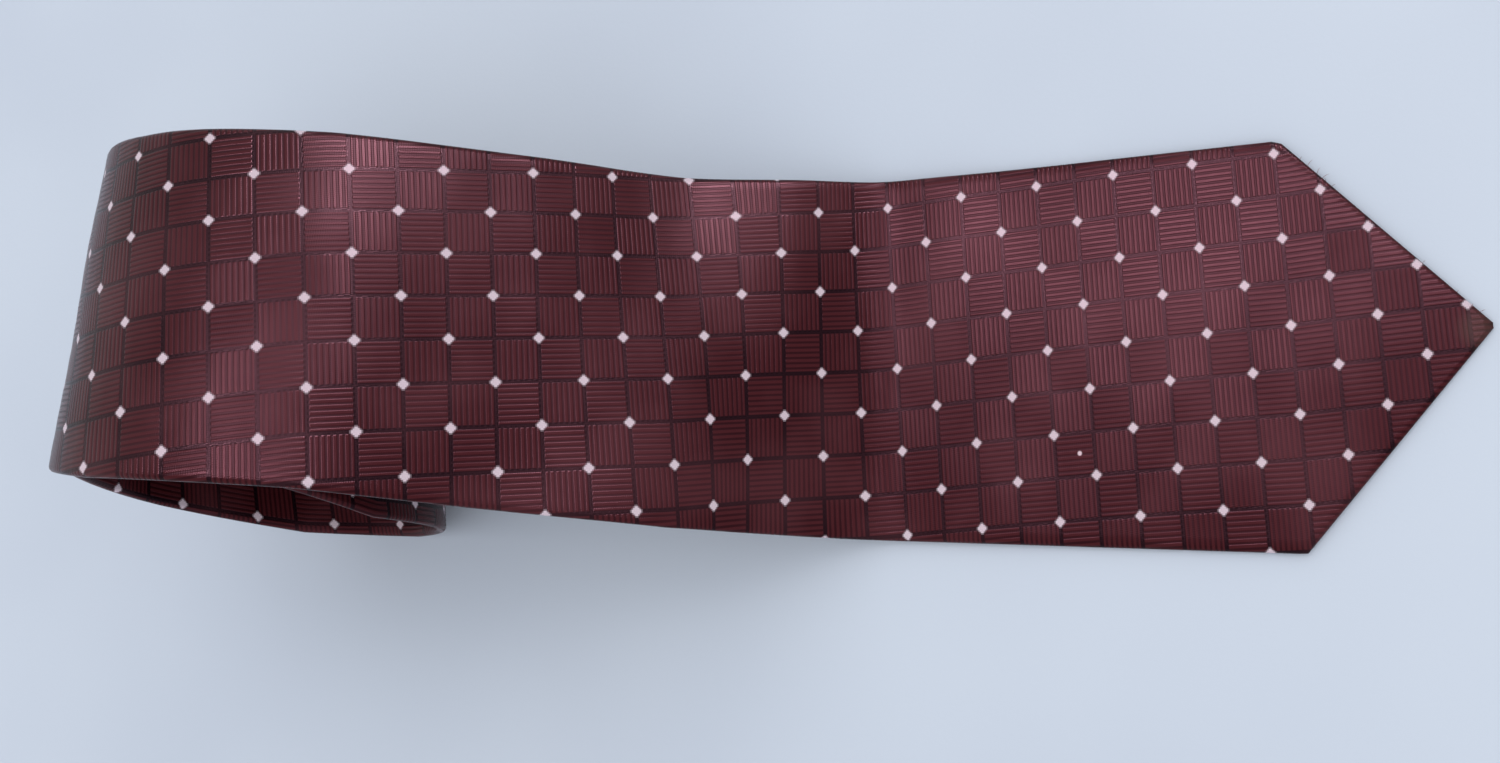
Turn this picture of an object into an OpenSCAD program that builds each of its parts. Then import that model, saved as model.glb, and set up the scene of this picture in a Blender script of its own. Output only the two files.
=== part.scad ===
// Necktie, rolled up from its narrow end, with the front blade lying flat.
// The tie is a flattened silk tube round a wool interlining. Its route is a side
// view curve (x, z) for the near edge and one for the far edge, because the roll is
// a little conical. Every piece is swept along that route at its own place in the
// tie's section: v runs across the tie and n from its back (0) to its face.

/* [Front blade] */
// Greatest width of the front blade, between the corners of its point
blade_w = 85; // [80:0.5:88]
// Length of the point, from those corners to the tip
point_len = 38; // [36:0.5:40]
// Place of the tip along the tie's axis
tip_x = 146; // [142:1:150]
// Width of the turned-in hem round the point
hem_w = 9; // [7:0.5:11]
// Distance from the tip to the front bar tack, where the back seam starts
seam_start = 94; // [88:1:98]

/* [Neck and tail] */
// Narrowing of the front blade, in mm of width per mm of length
taper = 0.061; // [0.056:0.001:0.066]
// Width of the neck
neck_w = 36; // [34:1:40]
// Greatest width of the tail
tail_w = 48; // [44:1:50]

/* [Section] */
// Whole thickness of the tie lying flat
tie_t = 2.3; // [2.2:0.05:2.3]
// Thickness of the shell fabric
shell_t = 0.35; // [0.3:0.05:0.4]
// Thickness of the tipping lining
tipping_t = 0.2; // [0.15:0.05:0.2]
// Room between the layers
layer_gap = 0.05; // [0.03:0.01:0.06]

/* [Roll] */
// Step from one turn of the roll to the next
turn_pitch = 2.6; // [2.6:0.05:2.7]
// Number of quarter turns wound inside the outer loop
quarter_turns = 31; // [24:1:32]
// Width either side of the axis at which the two edge curves are given
edge_v = 35; // [34:0.5:36]

/* [Hidden] */

silk = [0.33, 0.14, 0.16];
lining = [0.26, 0.08, 0.11];
wool = [0.82, 0.79, 0.72];
thread = [0.30, 0.11, 0.13];

// The side view of the rise from the table to the crown of the roll
rise_x = 24;
near_rise = [[rise_x, tie_t], [2, 21], [-13, 38], [-40, 57], [-68, 81]];
far_rise = [[rise_x, tie_t], [4, 12.5], [-20, 24], [-44, 44.5], [-76, 67.5]];
near_crown = [-98, 90];
far_crown = [-106, 77.5];
// The outer loop's left end, the roll's middle line and its half sizes
near_left = [-139, 45];
far_left = [-144, 38.5];
near_middle = [-104, 38.2];
far_middle = [-112, 32.6];
near_half_x = 30.3;
far_half_x = 25.8;

rise_steps = 4;
arc_steps = 5;
corner_s = point_len;
tip_half = 1.5;
seam_gap = 0.35;
thread_r = 0.15;
hinge_s = 119;
hinge_gap = 0.3;
panel_gap = 0.4;
front_panel_end = 720;
neck_end = 1010;
tail_point = 24;
tail_hem = 8;
tail_seam_end = 62;
keeper_s = 205;
keeper_len = 12;
tag_s = 232;
tag_len = 22;

// Distance across the layers at which each one starts
tipping_n = shell_t + layer_gap;
core_n = tipping_n + tipping_t + layer_gap;
core_top_n = tie_t - shell_t - 2 * layer_gap;
// How far the lining and the interlining stop short of the folded edge
core_margin = 1.6;

function mix(a, b, t) = a + (b - a) * t;
function reversed(list) = [for (i = [len(list) - 1 : -1 : 0]) list[i]];

// Side view curve through points p0 to p3, from p1 to p2
function through(p0, p1, p2, p3, t) =
    0.5 * (2 * p1 + (p2 - p0) * t + (2 * p0 - 5 * p1 + 4 * p2 - p3) * t * t
    + (3 * p1 - p0 - 3 * p2 + p3) * t * t * t);

// The rise leaves the table and meets the crown level
function rise_curve(rise, crown) =
    let (last = rise[len(rise) - 1],
        points = concat([[2 * rise_x - rise[1][0], rise[1][1]]], rise, [crown],
            [[2 * crown[0] - last[0], last[1]]]))
    [for (i = [1 : len(rise)]) for (step = [0 : rise_steps - 1])
        through(points[i - 1], points[i], points[i + 1], points[i + 2], step / rise_steps)];

// The roll is a chain of quarter ellipses between its top, left, bottom and right ends
function way(k) = [[0, 1], [-1, 0], [0, -1], [1, 0]][k % 4];
function roll_end(k, crown, left, middle, half_x) =
    k == 0 ? crown :
    k == 1 ? left :
    let (shrink = turn_pitch * (k - 2) / 4)
    [middle[0] + way(k)[0] * (half_x - shrink), middle[1] + way(k)[1] * (middle[1] - shrink)];
function quarter_point(a, b, from_level, angle) =
    from_level
    ? [mix(a[0], b[0], sin(angle)), b[1] + (a[1] - b[1]) * cos(angle)]
    : [b[0] + (a[0] - b[0]) * cos(angle), mix(a[1], b[1], sin(angle))];
function roll_curve(crown, left, middle, half_x) =
    [for (k = [0 : quarter_turns + 1]) for (step = [0 : arc_steps - 1])
        quarter_point(roll_end(k, crown, left, middle, half_x),
            roll_end(k + 1, crown, left, middle, half_x), k % 2 == 0, 90 * step / arc_steps)];

flat_s = [0, 7, corner_s, 60, 80, seam_start, 108];
flat_curve = [for (s = flat_s) [tip_x - s, tie_t]];
near = concat(flat_curve, rise_curve(near_rise, near_crown),
    roll_curve(near_crown, near_left, near_middle, near_half_x));
far = concat(flat_curve, rise_curve(far_rise, far_crown),
    roll_curve(far_crown, far_left, far_middle, far_half_x));
last_station = len(near) - 1;
middle_line = [for (k = [0 : last_station]) (near[k] + far[k]) / 2];

// Distance along the tie from its tip to each station
station_s = [for (k = 0, s = 0; k <= last_station;
    s = s + (k < last_station ? norm(middle_line[k + 1] - middle_line[k]) : 0), k = k + 1) s];
tie_len = station_s[last_station];
station_table = [for (k = [0 : last_station]) [station_s[k], k]];
function station(s) = lookup(s, station_table);

// Outward direction of the tie's face at each station, in the side view
function face_way(k) =
    let (d = middle_line[min(k + 1, last_station)] - middle_line[max(k - 1, 0)])
    [d[1], -d[0]] / norm(d);
face_ways = [for (k = [0 : last_station]) face_way(k)];

// Sideways drift of the tie's axis along its length
axis_drift = [[0, 1.5], [38, -0.5], [170, -1], [240, 2.2], [280, 2.5], [312, 4.7],
    [343, -1.5], [375, -7.3], [403, -8.8], [453, -7.9], [475, -2.5], [505, 3], [560, 6], [700, 7]];

// Point of the tie at distance s from the tip, v across it and n up from its back
function at(s, v, n) =
    let (kf = station(s), k = min(floor(kf), last_station - 1), t = kf - k,
        y = lookup(s, axis_drift) + v,
        q = (y + edge_v) / (2 * edge_v),
        p = mix(mix(near[k], near[k + 1], t), mix(far[k], far[k + 1], t), q),
        up = mix(face_ways[k], face_ways[k + 1], t))
    [p[0] + (n - tie_t) * up[0], y, p[1] + (n - tie_t) * up[1]];

// Half the tie's width at distance s from the tip
tail_s = tie_len - tail_point;
neck_to_tail = [[neck_end - 60, neck_w / 2], [tail_s, tail_w / 2], [tie_len, tip_half]];
function half_width(s) =
    s < corner_s ? mix(tip_half, blade_w / 2, s / corner_s) :
    s < neck_end - 60 ? max(neck_w, blade_w - taper * (s - corner_s)) / 2 :
    lookup(s, neck_to_tail);

// Half the opening between the two back flaps of the shell
function flap_opening(s) =
    let (half = half_width(s),
        seam = tie_len - tail_seam_end,
        wide = s < corner_s ? half - hem_w :
            s < seam_start ? mix(blade_w / 2 - hem_w, seam_gap,
                (s - corner_s) / (seam_start - corner_s)) :
            s > tail_s ? half - tail_hem :
            s > seam ? mix(seam_gap, tail_w / 2 - tail_hem, (s - seam) / (tail_s - seam)) : 0)
    max(seam_gap, wide);

// Sections: an outer and an inner line of the same number of points, as one loop
function shell_section(s) =
    let (half = half_width(s), fold = min(1.2, half * 0.4), g = flap_opening(s),
        inside = half - 1.2 * shell_t, mid = tie_t / 2,
        outer = [[g, 0], [half - fold, 0], [half, mid], [half - fold, tie_t], [0, tie_t],
            [fold - half, tie_t], [-half, mid], [fold - half, 0], [-g, 0]],
        inner = [[g, shell_t], [half - fold, shell_t], [inside, mid],
            [half - fold, tie_t - shell_t], [0, tie_t - shell_t],
            [fold - half, tie_t - shell_t], [-inside, mid], [fold - half, shell_t],
            [-g, shell_t]])
    concat(outer, reversed(inner));
function slab_section(half, low, high) =
    [[-half, low], [0, low], [half, low], [half, high], [0, high], [-half, high]];
function round_section(n, r) = [for (i = [0 : 5]) [r * cos(60 * i), n + r * sin(60 * i)]];
function keeper_section() =
    let (outer = [[-26, -0.1], [-25, -1.2], [-21, -1.9], [0, -1.9], [21, -1.9], [25, -1.2],
            [26, -0.1]],
        inner = [[-23, -0.1], [-22.5, -0.5], [-20, -1.1], [0, -1.1], [20, -1.1],
            [22.5, -0.5], [23, -0.1]])
    concat(outer, reversed(inner));

// Stations from distance a to distance b, with the ends themselves
function stations_between(a, b) =
    concat([a], [for (s = station_s) if (s > a + 0.5 && s < b - 0.5) s], [b]);

// Solid from a list of rings, each a loop of two lines, closed with a strip at each end.
// Every face between two rings is split the same way across the tie, so that layers
// that lie on each other stay apart where the route twists.
module skin(rings) {
    m = len(rings[0]);
    last = (len(rings) - 1) * m;
    sides = [for (r = [0 : len(rings) - 2]) for (i = [0 : m - 1])
        let (j = (i + 1) % m, a = r * m + i, b = r * m + j, c = a + m, d = b + m)
        each rings[r][i][1] > rings[r][j][1] ? [[a, b, d], [a, d, c]] : [[a, b, c], [b, d, c]]];
    ends = [for (i = [0 : m / 2 - 2]) each [
        [i + 1, i, m - 1 - i, m - 2 - i],
        [last + i, last + i + 1, last + m - 2 - i, last + m - 1 - i]]];
    polyhedron(points = [for (ring = rings) each ring], faces = concat(sides, ends));
}

module shell_length(from, to) {
    skin([for (s = stations_between(from, to)) [for (p = shell_section(s)) at(s, p[0], p[1])]]);
}

module slab_length(from, to, margin, low, high) {
    skin([for (s = stations_between(from, to))
        [for (p = slab_section(half_width(s) - margin, low, high)) at(s, p[0], p[1])]]);
}

module seam_thread(from, to) {
    skin([for (s = stations_between(from, to))
        [for (p = round_section(shell_t / 2, thread_r)) at(s, p[0], p[1])]]);
}

// Small block of thread or cloth, given by its length, width and height on the tie
module patch(from, to, v, half, low, high) {
    skin([for (s = stations_between(from, to))
        [for (p = slab_section(half, low, high)) at(s, v + p[0], p[1])]]);
}

// Thread of a piecing seam, straight across the tie in the face fabric
module crossing_thread(s, r) {
    reach = half_width(s) - 2;
    n = tie_t - shell_t / 2;
    skin([for (v = [reach, -reach]) [for (i = [0 : 5])
        at(s + r * cos(60 * i), v, n + r * sin(60 * i))]]);
}

module blade_shell() {
    color(silk) shell_length(0, hinge_s - hinge_gap / 2);
}

module blade_interlining() {
    color(wool) slab_length(10, hinge_s - hinge_gap / 2, core_margin, core_n, core_top_n);
}

module front_tipping() {
    color(lining) slab_length(7, seam_start + 4, core_margin, tipping_n, tipping_n + tipping_t);
}

module front_bar_tack() {
    color(thread) patch(seam_start - 2, seam_start - 0.6, 0, 0.6, 0.05, 0.3);
}

module blade_slip_stitch() {
    color(thread) seam_thread(seam_start + 2, hinge_s - hinge_gap / 2);
}

// Slack of the slip stitch, left as a loose loop on the tipping
module slip_stitch_slack() {
    slack_len = 19;
    slack_half = 4;
    turns = 20;
    r = 0.12;
    start = seam_start - 3.2;
    centre = [for (i = [0 : turns - 1])
        let (a = 360 * i / turns)
        [start - slack_len * (1 - cos(a)) / 2, slack_half * sin(a)]];
    rings = [for (i = [0 : turns - 1])
        let (d = centre[(i + 1) % turns] - centre[(i + turns - 1) % turns],
            side = [-d[1], d[0]] / norm(d))
        [for (j = [0 : 5])
            at(centre[i][0] + side[0] * r * cos(60 * j),
                centre[i][1] + side[1] * r * cos(60 * j), 0.2 + r * sin(60 * j))]];
    m = 6;
    color(thread) polyhedron(points = [for (ring = rings) each ring],
        faces = [for (i = [0 : turns - 1]) for (j = [0 : m - 1])
            let (a = i * m, b = ((i + 1) % turns) * m, k = (j + 1) % m)
            [a + k, a + j, b + j, b + k]]);
}

module front_panel_shell() {
    color(silk) shell_length(hinge_s + hinge_gap / 2, front_panel_end - panel_gap / 2);
}

module neck_shell() {
    color(silk) shell_length(front_panel_end + panel_gap / 2, neck_end - panel_gap / 2);
}

module tail_shell() {
    color(silk) shell_length(neck_end + panel_gap / 2, tie_len);
}

module roll_interlining() {
    color(wool) slab_length(hinge_s + hinge_gap / 2, tie_len - 9, core_margin, core_n, core_top_n);
}

module tail_tipping() {
    color(lining) slab_length(tie_len - tail_seam_end - 4, tie_len - 6, core_margin,
        tipping_n, tipping_n + tipping_t);
}

module tail_bar_tack() {
    start = tie_len - tail_seam_end;
    color(thread) patch(start + 0.6, start + 2, 0, 0.6, 0.05, 0.3);
}

module roll_slip_stitch() {
    color(thread) seam_thread(hinge_s + hinge_gap / 2, tie_len - tail_seam_end - 2);
}

module neck_seam_thread() {
    color(thread) crossing_thread(front_panel_end, 0.1);
}

module tail_seam_thread() {
    color(thread) crossing_thread(neck_end, 0.1);
}

module keeper_loop() {
    color(silk) skin([for (s = stations_between(keeper_s, keeper_s + keeper_len))
        [for (p = keeper_section()) at(s, p[0], p[1])]]);
}

module keeper_tacks() {
    color(thread) for (v = [-24.6, 24.6]) for (s = [2, keeper_len - 5])
        patch(keeper_s + s, keeper_s + s + 3, v, 0.7, -2.0, -1.6);
}

module care_tag() {
    color("ivory") patch(tag_s, tag_s + tag_len, 0, 9, -0.45, -0.1);
}

blade_shell();
blade_interlining();
front_tipping();
front_bar_tack();
blade_slip_stitch();
slip_stitch_slack();
front_panel_shell();
neck_shell();
tail_shell();
roll_interlining();
tail_tipping();
tail_bar_tack();
roll_slip_stitch();
neck_seam_thread();
tail_seam_thread();
keeper_loop();
keeper_tacks();
care_tag();
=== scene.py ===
# A silk necktie, rolled up from its narrow end, with the wide front blade laid out flat.
# Lengths in the working below are millimetres and are turned into metres where a point is placed.
import bisect
import math

import bmesh
import bpy
from mathutils import Matrix, Vector, noise


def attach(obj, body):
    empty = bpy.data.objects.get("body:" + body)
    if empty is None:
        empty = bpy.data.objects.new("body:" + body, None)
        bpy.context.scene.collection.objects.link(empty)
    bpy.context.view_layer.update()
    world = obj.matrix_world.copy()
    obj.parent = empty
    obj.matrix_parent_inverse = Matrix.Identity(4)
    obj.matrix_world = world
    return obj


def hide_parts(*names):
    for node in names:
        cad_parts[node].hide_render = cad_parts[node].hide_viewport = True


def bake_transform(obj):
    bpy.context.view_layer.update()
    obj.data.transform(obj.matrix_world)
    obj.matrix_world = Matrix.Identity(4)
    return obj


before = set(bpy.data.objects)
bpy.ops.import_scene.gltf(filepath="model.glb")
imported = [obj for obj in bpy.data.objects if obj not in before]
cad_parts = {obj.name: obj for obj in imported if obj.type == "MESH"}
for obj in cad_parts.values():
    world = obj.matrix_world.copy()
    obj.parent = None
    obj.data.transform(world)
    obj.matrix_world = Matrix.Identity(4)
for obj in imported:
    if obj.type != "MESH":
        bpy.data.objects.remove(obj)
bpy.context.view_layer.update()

# ---------------------------------------------------------------------------------------------
# The view: from above the pointed end and a little from the near side. The tie lies to the left
# of the lens axis, so the frame is shifted that way.
eye = Vector((0.1245, -0.0505, 0.288))
looks_at = Vector((0.036, -0.0065, 0.0025))
held_tilted = math.radians(0.8)
lens = bpy.data.cameras.new("view")
lens.sensor_width = 36
lens.lens = 33.6
lens.shift_x = -0.1333
lens.clip_start = 0.01
view = bpy.data.objects.new("view", lens)
bpy.context.scene.collection.objects.link(view)
back_to_eye = (eye - looks_at).normalized()
level_right = Vector((0.0, 1.0, 0.0)).cross(back_to_eye).normalized()
level = Matrix((level_right, back_to_eye.cross(level_right), back_to_eye)).transposed().to_4x4()
view.matrix_world = Matrix.Translation(eye) @ level @ Matrix.Rotation(held_tilted, 4, "Z")
bpy.context.scene.camera = view

# ---------------------------------------------------------------------------------------------
# How the tie lies: flat behind the point, up a rise, over a soft crown, down at the left and
# then round and round inside. The near edge and the far edge take slightly different ways.
TIE_THICK = 2.3
CLOTH = 0.35
TIP_X = 146.0
RISE_X = 24.0
POINT_LEN = 38.0
TURN_PITCH = 2.6
QUARTER_TURNS = 31
near_rise = [(RISE_X, TIE_THICK), (2, 21), (-13, 38), (-40, 57), (-68, 81)]
far_rise = [(RISE_X, TIE_THICK), (4, 12.5), (-20, 24), (-44, 44.5), (-76, 67.5)]
near_roll = dict(crown=(-98, 90), left=(-139, 45), middle=(-104, 38.2), half=30.3)
far_roll = dict(crown=(-106, 77.5), left=(-144, 38.5), middle=(-112, 32.6), half=25.8)


def side_route(rise, roll):
    """The (x, z) points of one edge's way, from the tip to the middle of the roll."""
    way = [(TIP_X - k * (TIP_X - RISE_X) / 60, TIE_THICK) for k in range(60)]
    crown = roll["crown"]
    marks = [(2 * RISE_X - rise[1][0], rise[1][1]), *rise, crown]
    marks.append((2 * crown[0] - rise[-1][0], rise[-1][1]))
    for k in range(1, len(marks) - 2):
        for m in range(16):
            t = m / 16
            way.append(tuple(
                0.5 * (2 * b + (c - a) * t + (2 * a - 5 * b + 4 * c - d) * t * t
                       + (3 * b - a - 3 * c + d) * t ** 3)
                for a, b, c, d in zip(*marks[k - 1:k + 3])))

    def turn_end(k):
        if k == 0:
            return crown
        if k == 1:
            return roll["left"]
        shrink = TURN_PITCH * (k - 2) / 4
        across, rise_ = ((0, 1), (-1, 0), (0, -1), (1, 0))[k % 4]
        return (roll["middle"][0] + across * (roll["half"] - shrink),
                roll["middle"][1] + rise_ * (roll["middle"][1] - shrink))

    for k in range(QUARTER_TURNS + 2):
        a, b = turn_end(k), turn_end(k + 1)
        for m in range(14):
            angle = m / 14 * math.pi / 2
            if k % 2 == 0:
                way.append((a[0] + (b[0] - a[0]) * math.sin(angle),
                            b[1] + (a[1] - b[1]) * math.cos(angle)))
            else:
                way.append((b[0] + (a[0] - b[0]) * math.cos(angle),
                            a[1] + (b[1] - a[1]) * math.sin(angle)))
    way.append(turn_end(QUARTER_TURNS + 2))
    # Cloth doesn't bend all at once, so the foot of the rise is eased over about 15 mm.
    for again in range(26):
        way[46:76] = [(way[k][0], (way[k - 1][1] + 2 * way[k][1] + way[k + 1][1]) / 4)
                      for k in range(46, 76)]
    return way


near_way = side_route(near_rise, near_roll)
far_way = side_route(far_rise, far_roll)
middle_way = [((a[0] + b[0]) / 2, (a[1] + b[1]) / 2) for a, b in zip(near_way, far_way)]
way_s = [0.0]
for a, b in zip(middle_way, middle_way[1:]):
    way_s.append(way_s[-1] + math.hypot(b[0] - a[0], b[1] - a[1]))
way_up = []
for k in range(len(middle_way)):
    a, b = middle_way[max(k - 1, 0)], middle_way[min(k + 1, len(middle_way) - 1)]
    span = math.hypot(b[0] - a[0], b[1] - a[1])
    way_up.append(((b[1] - a[1]) / span, -(b[0] - a[0]) / span))
TIE_LEN = way_s[-1]


def mix(a, b, t):
    return a + (b - a) * t


def ease(a, b, x):
    t = min(max((x - a) / (b - a), 0.0), 1.0)
    return t * t * (3 - 2 * t)


def table(marks, x):
    """A value read between the marks (x, value), and held beyond them."""
    if x <= marks[0][0]:
        return marks[0][1]
    for (a, p), (b, q) in zip(marks, marks[1:]):
        if x <= b:
            return mix(p, q, (x - a) / (b - a))
    return marks[-1][1]


# The roll was wound by hand, so its turns wander to the near side and back again.
wander = [(0, 1.5), (38, -0.5), (170, -1), (240, 2.2), (280, 2.5), (312, 4.7), (343, -1.5),
          (375, -7.3), (403, -8.8), (453, -7.9), (475, -2.5), (505, 3), (560, 6), (700, 7)]
# Soft ridges pressed across the cloth where it leaves the table: place, lean, height, width.
ridges = [(118, 0.14, 0.5, 16), (146, 0.16, 0.3, 12)]
# Small swellings and hollows left in the cloth by handling: place, side, height, length, width.
swells = [(158, -24, 0.7, 9, 14), (168, -6, 0.5, 9, 16), (246, 22, 0.5, 16, 20), (215, 8, -0.4, 14, 18),
          (112, 36, 1.0, 14, 30), (134, -36, -0.8, 12, 30)]


def half_width(s):
    if s < POINT_LEN:
        return mix(0.6, 42.5, s / POINT_LEN)
    if s < 950:
        return max(36.0, 85 - 0.061 * (s - POINT_LEN)) / 2
    return table([(950, 18), (TIE_LEN - 24, 24), (TIE_LEN, 0.6)], s)


def wave(s, v):
    """How far the cloth stands off its even place, in mm: soft waves, ridges and small puckers."""
    calm = mix(1.0, 0.12, ease(300, 380, s))
    tall = 0.28 * noise.noise(Vector((s / 27, v / 24, 3.1)))
    tall += 0.10 * noise.noise(Vector((s / 9, v / 13, 8.7)))
    for place, lean, height, wide in ridges:
        tall += height * math.exp(-((s - place - lean * v) / wide) ** 2)
    for place, side, height, long, wide in swells:
        tall += height * math.exp(-((s - place) / long) ** 2 - ((v - side) / wide) ** 2)
    return tall * calm


def lie(s, v, n):
    """The place of a point of the tie: s from the tip, v across it, n up from its back face."""
    s = min(max(s, 0.0), TIE_LEN)
    k = min(max(bisect.bisect_right(way_s, s) - 1, 0), len(way_s) - 2)
    t = (s - way_s[k]) / (way_s[k + 1] - way_s[k])
    y = table(wander, s) + v
    skew = 0.048 * v * (1 - ease(90, 140, s))
    q = (y + 35) / 70
    x = mix(mix(near_way[k][0], near_way[k + 1][0], t), mix(far_way[k][0], far_way[k + 1][0], t), q)
    z = mix(mix(near_way[k][1], near_way[k + 1][1], t), mix(far_way[k][1], far_way[k + 1][1], t), q)
    up_x = mix(way_up[k][0], way_up[k + 1][0], t)
    up_z = mix(way_up[k][1], way_up[k + 1][1], t)
    half = half_width(s)
    level = n / TIE_THICK
    plump = 0.4 * max(0.0, 1 - (v / (half + 0.01)) ** 2) * mix(1, 0.3, ease(300, 380, s)) - 0.25
    off = n - TIE_THICK
    off += level * plump * ease(0, 30, half)
    off += wave(s, v) * mix(level, 1.0, ease(104, 128, s))
    off -= level * 0.9 * (1 - ease(0, 34, s)) + level * 0.7 * ease(TIE_LEN - 26, TIE_LEN, s)
    return Vector(((x - skew + off * up_x) / 1000, y / 1000, (z + off * up_z) / 1000))


# ---------------------------------------------------------------------------------------------
# The silk: a jacquard of small, nearly square blocks, ribbed one way and the other by turns, parted by dark
# lines, with a pale lozenge at every second corner. The pattern follows the cloth's own map.
def dye(red, green, blue):
    """A colour as a dyer's card gives it, 0 to 255, made linear."""
    return tuple(
        (c / 255 / 12.92 if c <= 10 else ((c / 255 + 0.055) / 1.055) ** 2.4)
        for c in (red, green, blue)) + (1.0,)


def put(tree, kind, *values, **settings):
    """Adds a node, sets its settings, and fills or links its inputs in order."""
    node = tree.nodes.new(kind)
    for name, value in settings.items():
        setattr(node, name, value)
    for socket, value in zip(node.inputs, values):
        if value is None:
            continue
        if isinstance(value, bpy.types.NodeSocket):
            tree.links.new(value, socket)
        else:
            socket.default_value = value
    return node


def calc(tree, operation, *values, **settings):
    return put(tree, "ShaderNodeMath", *values, operation=operation, **settings).outputs[0]


def fade(tree, value, low, high):
    """0 below low and 1 above high, eased between; the other way round when low is the larger."""
    node = put(tree, "ShaderNodeMapRange", value, min(low, high), max(low, high),
               interpolation_type="SMOOTHSTEP")
    node.inputs[3].default_value = 0.0 if low < high else 1.0
    node.inputs[4].default_value = 1.0 if low < high else 0.0
    return node.outputs[0]


def blend_colours(tree, amount, first, second):
    node = tree.nodes.new("ShaderNodeMix")
    node.data_type = "RGBA"
    for socket, value in ((node.inputs[0], amount), (node.inputs[6], first), (node.inputs[7], second)):
        if isinstance(value, bpy.types.NodeSocket):
            tree.links.new(value, socket)
        else:
            socket.default_value = value
    return node.outputs[2]


def new_group(name, takes, gives):
    group = bpy.data.node_groups.new(name, "ShaderNodeTree")
    for label, kind in takes:
        group.interface.new_socket(label, in_out="INPUT", socket_type=kind)
    for label in gives:
        group.interface.new_socket(label, in_out="OUTPUT", socket_type="NodeSocketFloat")
    return group, group.nodes.new("NodeGroupInput"), group.nodes.new("NodeGroupOutput")


jacquard, taken, given = new_group(
    "ribbed_check", [("Cells", "NodeSocketVector"), ("Ribs", "NodeSocketFloat")],
    ["Rib", "Line", "Spot", "Twist", "Height"])
cells = put(jacquard, "ShaderNodeSeparateXYZ", taken.outputs["Cells"])
along, across = cells.outputs[0], cells.outputs[1]
in_along, in_across = calc(jacquard, "FRACT", along), calc(jacquard, "FRACT", across)
turned = calc(jacquard, "FLOORED_MODULO", calc(
    jacquard, "ADD", calc(jacquard, "FLOOR", along), calc(jacquard, "FLOOR", across)), 2.0)
straight = calc(jacquard, "SUBTRACT", 1.0, turned)
over_ribs = calc(jacquard, "ADD", calc(jacquard, "MULTIPLY", in_across, straight),
                 calc(jacquard, "MULTIPLY", in_along, turned))
down_ribs = calc(jacquard, "ADD", calc(jacquard, "MULTIPLY", in_along, straight),
                 calc(jacquard, "MULTIPLY", in_across, turned))
rib_turn = calc(jacquard, "MULTIPLY", over_ribs, taken.outputs["Ribs"])
rib = fade(jacquard, calc(jacquard, "COSINE", calc(
    jacquard, "MULTIPLY", rib_turn, 2 * math.pi)), 0.75, -0.35)
edge_gap = calc(jacquard, "MINIMUM", calc(jacquard, "PINGPONG", along, 0.5),
                calc(jacquard, "PINGPONG", across, 0.5))
line = fade(jacquard, edge_gap, 0.062, 0.036)
corner_along = calc(jacquard, "ROUND", along)
corner_across = calc(jacquard, "ROUND", across)
every_second = calc(jacquard, "SUBTRACT", 1.0, calc(jacquard, "FLOORED_MODULO", calc(
    jacquard, "ADD", corner_along, corner_across), 2.0))
off_along = calc(jacquard, "SNAP", calc(jacquard, "ABSOLUTE", calc(
    jacquard, "SUBTRACT", along, corner_along)), 0.036)
off_across = calc(jacquard, "SNAP", calc(jacquard, "ABSOLUTE", calc(
    jacquard, "SUBTRACT", across, corner_across)), 0.036)
spot = calc(jacquard, "MULTIPLY", every_second, fade(
    jacquard, calc(jacquard, "ADD", off_along, off_across), 0.114, 0.096))
twist = calc(jacquard, "ADD", 0.5, calc(jacquard, "MULTIPLY", 0.5, calc(
    jacquard, "SINE", calc(jacquard, "ADD", calc(jacquard, "MULTIPLY", down_ribs, 126.0),
                           calc(jacquard, "MULTIPLY", calc(jacquard, "ROUND", rib_turn), 2.4)))))
height = calc(jacquard, "MULTIPLY", rib, calc(jacquard, "SUBTRACT", 1.0, line))
height = calc(jacquard, "ADD", height, calc(jacquard, "MULTIPLY", twist, 0.25))
height = calc(jacquard, "ADD", height, calc(jacquard, "MULTIPLY", spot, 0.6))
for label, value in (("Rib", rib), ("Line", line), ("Spot", spot), ("Twist", twist), ("Height", height)):
    jacquard.links.new(value, given.inputs[label])

silk = bpy.data.materials.new("jacquard_silk")
silk.use_nodes = True
tree = silk.node_tree
shader = tree.nodes["Principled BSDF"]
cloth_map = put(tree, "ShaderNodeUVMap", uv_map="cloth").outputs[0]
check = put(tree, "ShaderNodeGroup", node_tree=jacquard)
tree.links.new(cloth_map, check.inputs["Cells"])
check.inputs["Ribs"].default_value = 8.0
ground = blend_colours(tree, check.outputs["Rib"], dye(36, 7, 10), dye(65, 24, 27))
ground = blend_colours(tree, calc(tree, "MULTIPLY", check.outputs["Twist"], 0.22), ground, dye(40, 14, 19))
ground = blend_colours(tree, check.outputs["Line"], ground, dye(14, 4, 8))
worn = put(tree, "ShaderNodeTexNoise", cloth_map, None, 0.35, 3.0, noise_dimensions="2D")
ground = blend_colours(tree, fade(tree, worn.outputs[0], 0.35, 0.75), ground, blend_colours(
    tree, 0.08, ground, dye(150, 96, 104)))
soiled = put(tree, "ShaderNodeVectorMath", cloth_map, (28.15, 2.55, 0.0), operation="DISTANCE")
soil = calc(tree, "MULTIPLY", fade(tree, soiled.outputs["Value"], 0.6, 0.15), 0.28)
spot_colour = blend_colours(tree, calc(tree, "MULTIPLY", check.outputs["Twist"], 0.25),
                            dye(206, 190, 198), dye(176, 156, 168))
face = blend_colours(tree, check.outputs["Spot"], ground, spot_colour)
face = blend_colours(tree, soil, face, dye(92, 78, 70))
nicked = put(tree, "ShaderNodeVectorMath", cloth_map, (18.62, 4.47, 0.0), operation="DISTANCE")
face = blend_colours(tree, fade(tree, nicked.outputs["Value"], 0.07, 0.035), face, dye(214, 190, 196))
tree.links.new(face, shader.inputs["Base Color"])
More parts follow.
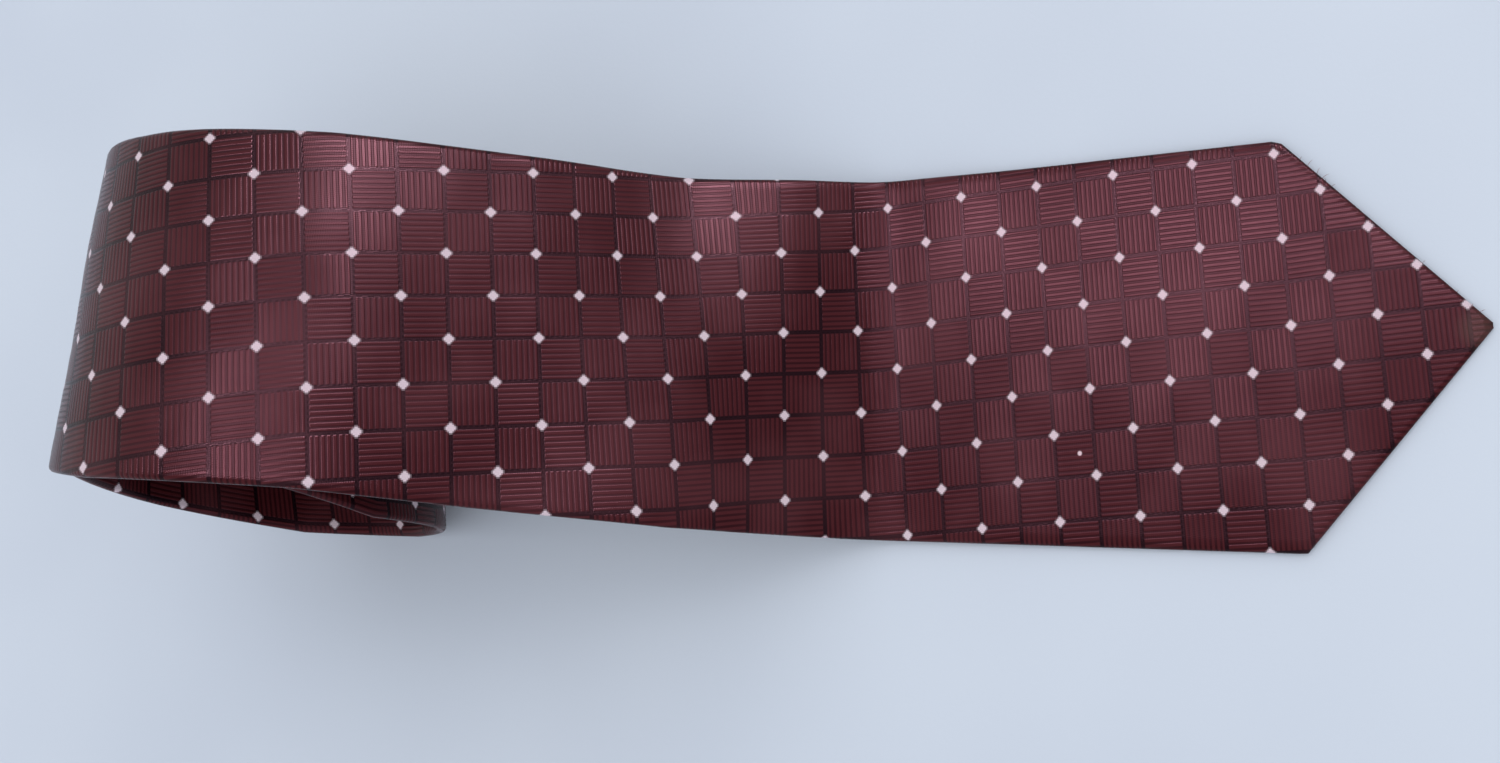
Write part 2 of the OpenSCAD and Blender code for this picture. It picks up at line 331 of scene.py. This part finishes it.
tree.links.new(calc(tree, "SUBTRACT", 0.33, calc(tree, "MULTIPLY", check.outputs["Rib"], 0.10)),
               shader.inputs["Roughness"])
raised = put(tree, "ShaderNodeBump")
raised.inputs["Strength"].default_value = 0.38
raised.inputs["Distance"].default_value = 0.00012
tree.links.new(check.outputs["Height"], raised.inputs["Height"])
tree.links.new(raised.outputs[0], shader.inputs["Normal"])
shader.inputs["Sheen Weight"].default_value = 0.01
shader.inputs["Sheen Roughness"].default_value = 0.4
shader.inputs["Sheen Tint"].default_value = dye(235, 190, 215)
shader.inputs["Specular IOR Level"].default_value = 0.12
shader.inputs["Specular Tint"].default_value = (1.0, 0.42, 0.55, 1.0)

# ---------------------------------------------------------------------------------------------
# The shell: three panels of silk cut on the bias. Each is folded into a flat tube whose two long
# edges meet behind the tie; behind the points they part, and the cloth is turned in as a hem.
SEAM_GAP = 0.35
SEAM_LEAN = 0.7
FRONT_END = 720
NECK_END = 1010


def flap_inner(s, half):
    """How far from the middle the turned-in edge lies, behind the tie."""
    hem_line = table([(0, 1.0), (POINT_LEN, 1.0), (94, 0.0)], s)
    tail_line = table([(TIE_LEN - 62, 0.0), (TIE_LEN - 24, 1.0)], s)
    open_part = max(hem_line, tail_line)
    hem = 9 if s < 200 else 8
    return mix(SEAM_GAP / 2, max(half - hem, SEAM_GAP / 2), open_part)


def tube_section(s, b):
    """Where the part b, 0 to 1, of the cloth's width lies at s: across, up, and along the cloth."""
    half = half_width(s)
    fold = min((TIE_THICK - CLOTH) / 2, 0.05 + 0.4 * half)
    flat = max(half - CLOTH / 2 - fold, 0.08)
    inner = min(flap_inner(s, half), flat - 0.03)
    side = -1 if b < 0.5 else 1
    b = b if b < 0.5 else 1 - b
    if b < 0.2:
        v = mix(inner, flat, b / 0.2)
        return side * v, TIE_THICK / 2 - fold, side * (2 * flat - v + math.pi * fold)
    if b < 0.26:
        angle = (0.26 - b) / 0.06 * math.pi
        return (side * (flat + fold * math.sin(angle)), TIE_THICK / 2 + fold * math.cos(angle),
                side * (flat + fold * angle))
    v = flat * (0.5 - b) / 0.24
    return side * v, TIE_THICK / 2 + fold, side * v


def cell_place(s, g):
    """Where a cloth point lies in the pattern, in blocks of 8.42 by 9.07 mm, a little skewed."""
    lean = mix(0.009, 0.016, ease(110, 160, s)) - 0.0057 * (1 - ease(90, 140, s))
    drift = min(s, 290)
    return (28.5 - s / 8.42 + 0.0035 * max(0, min(s, 300) - 200) + lean * g,
            2.52 - 0.003 * drift - 0.00003 * drift * drift - 0.1103 * g)


def cloth_sheet(name, rows, columns, place, mapped, thick, material, bumpy=True):
    """A sheet woven flat, laid where place(a, b) says, with thickness. mapped(a, b) is its own map."""
    bm = bmesh.new()
    bmesh.ops.create_grid(bm, x_segments=rows, y_segments=columns, size=0.5)
    weave_map = bm.loops.layers.uv.new("cloth")
    for f in bm.faces:
        f.smooth = True
        for corner in f.loops:
            corner[weave_map].uv = mapped(corner.vert.co.x + 0.5, corner.vert.co.y + 0.5)
    for vert in bm.verts:
        vert.co = place(vert.co.x + 0.5, vert.co.y + 0.5)
    mesh = bpy.data.meshes.new(name)
    bm.to_mesh(mesh)
    bm.free()
    mesh.materials.append(material)
    piece = bpy.data.objects.new(name, mesh)
    bpy.context.scene.collection.objects.link(piece)
    body = piece.modifiers.new("thickness", "SOLIDIFY")
    body.thickness = thick / 1000
    body.offset = 0
    return piece


def shell_panel(name, start, end, start_lean, end_lean, rows):
    def length_at(a, b):
        rough = tube_section(mix(start, end, a), b)[2]
        return mix(start + start_lean * rough, end + end_lean * rough, a)

    def place(a, b):
        s = length_at(a, b)
        v, n, _ = tube_section(s, b)
        return lie(s, v, n)

    def mapped(a, b):
        s = length_at(a, b)
        return cell_place(s, tube_section(s, b)[2])

    return cloth_sheet(name, rows, 100, place, mapped, CLOTH, silk)


front_panel = shell_panel("front_panel", 0, FRONT_END - 0.15, 0, SEAM_LEAN, 400)
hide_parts("blade_shell", "front_panel_shell")
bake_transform(front_panel)

neck_panel = shell_panel("neck_panel", FRONT_END + 0.15, NECK_END - 0.15, SEAM_LEAN, -SEAM_LEAN, 150)
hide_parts("neck_shell")
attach(neck_panel, "roll")

tail_panel = shell_panel("tail_panel", NECK_END + 0.15, TIE_LEN - 0.1, -SEAM_LEAN, 0, 230)
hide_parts("tail_shell")
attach(tail_panel, "roll")

# ---------------------------------------------------------------------------------------------
# The interlining: one strip of brushed wool, cut to the finished width, that gives the tie body.
# It is laid on the open shell before the shell is folded over it, and is held by the long stitch.
def flat_strip(name, start, end, half, level, thick, material, rows, columns):
    """A strip laid along the tie. half(s) is half its width, level(s, v) its height in the tie."""
    def place(a, b):
        s = mix(start, end, a)
        v = mix(-half(s), half(s), b)
        return lie(s, v, level(s, v))

    def mapped(a, b):
        s = mix(start, end, a)
        return s, mix(-half(s), half(s), b)

    return cloth_sheet(name, rows, columns, place, mapped, thick, material)


def ripple(tree, position, scale, detail=3.0):
    return put(tree, "ShaderNodeTexNoise", position, None, scale, detail).outputs[0]


def bump(tree, shader, height, distance, strength=1.0):
    node = put(tree, "ShaderNodeBump")
    node.inputs["Strength"].default_value = strength
    node.inputs["Distance"].default_value = distance
    tree.links.new(height, node.inputs["Height"])
    tree.links.new(node.outputs[0], shader.inputs["Normal"])


wool = bpy.data.materials.new("brushed_wool")
wool.use_nodes = True
tree = wool.node_tree
shader = tree.nodes["Principled BSDF"]
strip_map = put(tree, "ShaderNodeUVMap", uv_map="cloth").outputs[0]
combed = put(tree, "ShaderNodeMapping", strip_map, None, None, (0.35, 2.2, 1.0)).outputs[0]
fibres = ripple(tree, combed, 1.6, 6.0)
flecks = ripple(tree, strip_map, 0.25, 4.0)
tone = blend_colours(tree, fade(tree, fibres, 0.3, 0.7), dye(196, 184, 164), dye(226, 217, 200))
tone = blend_colours(tree, calc(tree, "MULTIPLY", fade(tree, flecks, 0.55, 0.7), 0.5),
                     tone, dye(168, 154, 136))
tree.links.new(tone, shader.inputs["Base Color"])
shader.inputs["Roughness"].default_value = 0.95
shader.inputs["Sheen Weight"].default_value = 0.5
bump(tree, shader, fibres, 0.0004)

interlining = flat_strip("interlining", 10, TIE_LEN - 9, lambda s: max(half_width(s) - 1.9, 0.5),
                         lambda s, v: 1.25, 0.9, wool, 620, 8)
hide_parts("blade_interlining", "roll_interlining")
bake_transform(interlining)

# ---------------------------------------------------------------------------------------------
# The tippings: two small pieces of plain satin lining, sewn in behind the wide point and the
# narrow one. The hems of the shell are turned in over their edges.
lining = bpy.data.materials.new("satin_lining")
lining.use_nodes = True
tree = lining.node_tree
shader = tree.nodes["Principled BSDF"]
lining_map = put(tree, "ShaderNodeUVMap", uv_map="cloth").outputs[0]
slant = put(tree, "ShaderNodeMapping", lining_map, None, (0.0, 0.0, 0.8), (2.6, 2.6, 1.0)).outputs[0]
twill = put(tree, "ShaderNodeTexWave", slant, 1.0, 0.6, 2.0, 1.5, wave_type="BANDS").outputs[1]
clouds = ripple(tree, lining_map, 0.06)
tone = blend_colours(tree, twill, dye(74, 22, 34), dye(104, 36, 48))
tone = blend_colours(tree, fade(tree, clouds, 0.35, 0.7), tone, dye(96, 30, 44))
tree.links.new(tone, shader.inputs["Base Color"])
tree.links.new(calc(tree, "SUBTRACT", 0.48, calc(tree, "MULTIPLY", twill, 0.12)),
               shader.inputs["Roughness"])
shader.inputs["Sheen Weight"].default_value = 0.15
bump(tree, shader, twill, 0.00006)

front_lining = flat_strip("front_tipping_cloth", 7, 98, lambda s: max(half_width(s) - 1.9, 0.5),
                          lambda s, v: 0.5, 0.2, lining, 110, 60)
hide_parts("front_tipping")
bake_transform(front_lining)

tail_lining = flat_strip("tail_tipping_cloth", TIE_LEN - 66, TIE_LEN - 6,
                         lambda s: max(half_width(s) - 1.9, 0.5),
                         lambda s, v: 0.5, 0.2, lining, 60, 24)
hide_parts("tail_tipping")
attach(tail_lining, "roll")

# ---------------------------------------------------------------------------------------------
# The sewing thread: two-ply, dyed to the silk. One length closes the seam behind the tie in long
# slanting stitches, and its slack is left as a loose loop behind the wide point.
cord_thread = bpy.data.materials.new("two_ply_thread")
cord_thread.use_nodes = True
tree = cord_thread.node_tree
shader = tree.nodes["Principled BSDF"]
ply_map = put(tree, "ShaderNodeUVMap", uv_map="cloth").outputs[0]
ply = put(tree, "ShaderNodeSeparateXYZ", ply_map)
strands = calc(tree, "SINE", calc(tree, "ADD", calc(tree, "MULTIPLY", ply.outputs[0], 9.0),
                                  calc(tree, "MULTIPLY", ply.outputs[1], 4 * math.pi)))
strands = calc(tree, "ADD", calc(tree, "MULTIPLY", strands, 0.5), 0.5)
tone = blend_colours(tree, strands, dye(84, 26, 36), dye(140, 62, 70))
tree.links.new(tone, shader.inputs["Base Color"])
shader.inputs["Roughness"].default_value = 0.6
shader.inputs["Sheen Weight"].default_value = 0.3
bump(tree, shader, strands, 0.00005)


def thread_run(name, runs, radius, closed=False):
    """Sewn thread: each run is a list of tie places (s, v, n) joined by one round strand."""
    bm = bmesh.new()
    ply_layer = bm.loops.layers.uv.new("cloth")
    for run in runs:
        points = [lie(*p) for p in run]
        count = len(points)
        old = set(bm.verts)
        bmesh.ops.create_grid(bm, x_segments=count - 1, y_segments=6, size=0.5)
        fresh = [v for v in bm.verts if v not in old]
        faces = {f for v in fresh for f in v.link_faces}
        length = 0.0
        lengths = [0.0]
        for p, q in zip(points, points[1:]):
            length += (q - p).length
            lengths.append(length)
        for f in faces:
            f.smooth = True
            for corner in f.loops:
                k = round((corner.vert.co.x + 0.5) * (count - 1))
                corner[ply_layer].uv = (lengths[k] * 1000, corner.vert.co.y + 0.5)
        for vert in fresh:
            k = round((vert.co.x + 0.5) * (count - 1))
            turn = (vert.co.y + 0.5) * 2 * math.pi
            if closed:
                ahead, behind = points[(k + 1) % (count - 1)], points[(k - 1) % (count - 1)]
            else:
                ahead, behind = points[min(k + 1, count - 1)], points[max(k - 1, 0)]
            way = (ahead - behind).normalized()
            side = way.cross(Vector((0.13, 0.11, 0.985))).normalized()
            rise = side.cross(way)
            thin = radius * (0.25 if not closed and k in (0, count - 1) else 1.0) / 1000
            vert.co = points[k] + thin * (math.cos(turn) * side + math.sin(turn) * rise)
    bmesh.ops.remove_doubles(bm, verts=bm.verts, dist=0.00001)
    bmesh.ops.holes_fill(bm, edges=[e for e in bm.edges if e.is_boundary], sides=8)
    bmesh.ops.recalc_face_normals(bm, faces=bm.faces)
    mesh = bpy.data.meshes.new(name)
    bm.to_mesh(mesh)
    bm.free()
    mesh.materials.append(cord_thread)
    piece = bpy.data.objects.new(name, mesh)
    bpy.context.scene.collection.objects.link(piece)
    return piece


long_stitch = []
s = 96.0
while s < TIE_LEN - 66:
    long_stitch += [(s, -0.5, 0.13), (s + 1.2, 0.0, 0.08), (s + 2.4, 0.5, 0.13), (s + 3.2, 0.55, 0.36),
                    (s + 5.2, 0.0, 0.42), (s + 7.2, -0.55, 0.36)]
    s += 8.0
slip_stitch = thread_run("slip_stitch", [long_stitch], 0.15)
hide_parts("blade_slip_stitch", "roll_slip_stitch")
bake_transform(slip_stitch)

# A few silk ends have frayed out of the fold on the far side of the point. Each is given by its
# place along the tie, how far it stands out, and how far it leans back along the edge.
def frayed(ends):
    runs = []
    for k, (s, out, lean) in enumerate(ends):
        edge = half_width(s) - 0.5
        runs.append([
            (s, edge - 0.6, 1.3), (s - 0.1 * lean, edge + 0.35, 1.5),
            (s - 0.5 * lean, edge + 0.7 * out, 1.3), (s - lean, edge + out, 0.9 + 0.2 * (k % 3))])
    return runs


frayed_ends = thread_run("frayed_ends", frayed([
    (34.0, 1.0, 0.6), (32.6, 1.6, 1.3), (31.9, 0.9, -0.5), (30.8, 1.8, 0.8), (29.9, 1.2, 1.6),
    (29.0, 1.5, -0.4),
    (28.1, 0.9, 0.9), (12.0, 0.9, 0.7), (6.1, 0.8, 0.5), (3.4, 0.9, 0.2), (2.2, 0.8, 1.2)]), 0.045)
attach(frayed_ends, "blade")

loop = []
for k in range(49):
    angle = 2 * math.pi * k / 48
    loop.append((91.0 - 9.5 * (1 - math.cos(angle)),
                 4 * math.sin(angle) * (0.75 + 0.25 * math.cos(angle + 0.6)), 0.2))
slack_loop = thread_run("slack_loop", [loop], 0.12, closed=True)
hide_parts("slip_stitch_slack")
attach(slack_loop, "blade")

# ---------------------------------------------------------------------------------------------
# The bar tacks: a short row of stitches laid side by side over the end of the seam, at both ends
# of the tie, so that the seam can't run open.
def tack(s, length, reach, low, high, count):
    """Stitches side by side along the tie, each crossing it from -reach to reach round v."""
    runs = []
    for k in range(count):
        place = s + length * (k + 0.5) / count
        runs.append([
            (place, -reach, high), (place + 0.05, -reach * 0.8, low), (place, -reach * 0.3, low - 0.04),
            (place - 0.05, reach * 0.3, low - 0.04), (place, reach * 0.8, low), (place, reach, high)])
    return runs


front_tack = thread_run("front_tack", tack(91.4, 2.4, 2.2, 0.04, 0.3, 9), 0.13)
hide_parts("front_bar_tack")
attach(front_tack, "blade")

tail_tack = thread_run("tail_tack", tack(TIE_LEN - 61.6, 2.4, 2.0, 0.04, 0.3, 9), 0.13)
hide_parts("tail_bar_tack")
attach(tail_tack, "roll")


# ---------------------------------------------------------------------------------------------
# The piecing seams: the panels are joined on the slant by a line of small machine stitches, and
# the seam is pressed open, so only a fine line and the stitches show.
def piecing(name, s, lean):
    run = []
    reach = half_width(s) - 1.5
    count = int(2 * reach / 0.55)
    for k in range(count + 1):
        v = mix(-reach, reach, k / count)
        run.append((s + lean * v, v, TIE_THICK - CLOTH / 2 + (0.14 if k % 4 in (1, 2) else -0.05)))
    return thread_run(name, [run], 0.1)


neck_piecing = piecing("neck_piecing", FRONT_END, SEAM_LEAN)
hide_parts("neck_seam_thread")
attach(neck_piecing, "roll")

tail_piecing = piecing("tail_piecing", NECK_END, -SEAM_LEAN)
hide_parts("tail_seam_thread")
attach(tail_piecing, "roll")


# ---------------------------------------------------------------------------------------------
# The keeper: a band of the same silk, folded double, set across the back of the blade. Its ends
# are sewn down with four small tacks, and the narrow end is passed through it when the tie is worn.
def keeper_level(s, v):
    lift = 1 - ease(16, 25.4, abs(v))
    return mix(-0.5, -1.5 - 0.5 * (1 - (v / 26) ** 2), lift)


keeper = flat_strip("keeper", 205, 217, lambda s: 25.8, keeper_level, 0.8, silk, 12, 60)
for corner in keeper.data.uv_layers["cloth"].data:
    corner.uv = (corner.uv[0] / 9.07 + 0.3, corner.uv[1] / 9.07)
rounded = keeper.modifiers.new("pressed_folds", "BEVEL")
rounded.width = 0.0003
rounded.segments = 2
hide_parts("keeper_loop")
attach(keeper, "roll")

tack_runs = []
for v in (-24.4, 24.4):
    for s in (207.4, 214.6):
        for k in range(5):
            across = v + (k - 2) * 0.26
            tack_runs.append([(s - 1.3, across, -0.35), (s - 1.1, across, -0.93), (s, across, -1.02),
                              (s + 1.1, across, -0.93), (s + 1.3, across, -0.35)])
keeper_stitches = thread_run("keeper_stitches", tack_runs, 0.13)
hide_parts("keeper_tacks")
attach(keeper_stitches, "roll")

# ---------------------------------------------------------------------------------------------
# The care tag: a small blank tag of ribbon, woven in satin with a corded edge at each side. It is
# caught at one end behind the blade and hangs a little loose at the other.
ribbon = bpy.data.materials.new("satin_ribbon")
ribbon.use_nodes = True
tree = ribbon.node_tree
shader = tree.nodes["Principled BSDF"]
ribbon_map = put(tree, "ShaderNodeUVMap", uv_map="cloth").outputs[0]
parts = put(tree, "ShaderNodeSeparateXYZ", ribbon_map)
picks = calc(tree, "SINE", calc(tree, "MULTIPLY", parts.outputs[0], 26.0))
ends_ = calc(tree, "SINE", calc(tree, "MULTIPLY", parts.outputs[1], 34.0))
grain = calc(tree, "ADD", 0.5, calc(tree, "MULTIPLY", 0.25, calc(tree, "ADD", picks, ends_)))
selvedge = fade(tree, calc(tree, "ABSOLUTE", parts.outputs[1]), 7.9, 8.2)
tone = blend_colours(tree, grain, dye(214, 206, 190), dye(236, 230, 216))
tone = blend_colours(tree, selvedge, tone, dye(198, 186, 166))
tree.links.new(tone, shader.inputs["Base Color"])
tree.links.new(calc(tree, "ADD", 0.4, calc(tree, "MULTIPLY", selvedge, 0.25)), shader.inputs["Roughness"])
bump(tree, shader, calc(tree, "ADD", grain, selvedge), 0.00008)

tag = flat_strip("ribbon_tag", 232, 254, lambda s: 9.0, lambda s, v: -0.28 - 1.1 * ease(240, 254, s),
                 0.28, ribbon, 30, 20)
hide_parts("care_tag")
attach(tag, "roll")

# ---------------------------------------------------------------------------------------------
# The table top and the light: a pale, smooth, slightly bluish top, an even room light, one soft
# light overhead towards the far side, and three lamps that show only as gloss in reflections.
table_top = bpy.data.materials.new("pale_table")
table_top.use_nodes = True
tree = table_top.node_tree
shader = tree.nodes["Principled BSDF"]
place = put(tree, "ShaderNodeTexCoord").outputs["Object"]
patchy = ripple(tree, place, 9.0, 2.0)
tone = blend_colours(tree, fade(tree, patchy, 0.3, 0.7), dye(194, 203, 216), dye(200, 209, 221))
tree.links.new(tone, shader.inputs["Base Color"])
shader.inputs["Roughness"].default_value = 0.6
shader.inputs["Specular IOR Level"].default_value = 0.1
bump(tree, shader, ripple(tree, place, 900.0, 2.0), 0.00002)
bm = bmesh.new()
bmesh.ops.create_grid(bm, x_segments=1, y_segments=1, size=3)
floor_mesh = bpy.data.meshes.new("table_top")
bm.to_mesh(floor_mesh)
bm.free()
floor_mesh.materials.append(table_top)
floor = bpy.data.objects.new("table_top", floor_mesh)
bpy.context.scene.collection.objects.link(floor)


def soft_light(name, place, aim, size, power, tint, fills=True):
    lamp = bpy.data.lights.new(name, "AREA")
    lamp.shape = "RECTANGLE"
    lamp.size, lamp.size_y = size
    lamp.energy = power
    lamp.color = tint
    holder = bpy.data.objects.new(name, lamp)
    bpy.context.scene.collection.objects.link(holder)
    holder.location = place
    holder.visible_diffuse = fills
    holder.rotation_euler = (Vector(aim) - Vector(place)).to_track_quat("-Z", "Y").to_euler()


window_white = (1.0, 0.98, 0.98)
gloss_white = (1.0, 0.98, 1.0)
soft_light("window_light", (0.17, 0.46, 1.3), (0.0, 0.0, 0.0), (0.7, 0.3), 1.2, window_white)
soft_light("gloss_over_point", (-0.08, 0.40, 1.28), (0.08, 0.0, 0.0), (0.45, 0.2), 13,
           gloss_white, fills=False)
soft_light("gloss_over_rise", (0.31, 0.98, 0.85), (-0.06, 0.0, 0.05), (0.4, 0.2), 22,
           gloss_white, fills=False)
soft_light("gloss_over_foot", (0.46, 0.30, 1.20), (0.02, 0.0, 0.0), (0.2, 0.2), 2.5,
           gloss_white, fills=False)
world = bpy.data.worlds.new("room")
world.use_nodes = True
world.node_tree.nodes["Background"].inputs[0].default_value = (0.96, 0.97, 1.0, 1.0)
world.node_tree.nodes["Background"].inputs[1].default_value = 1.05
bpy.context.scene.world = world
bpy.context.scene.view_settings.view_transform = "Standard"

# ---------------------------------------------------------------------------------------------
bpy.context.view_layer.update()
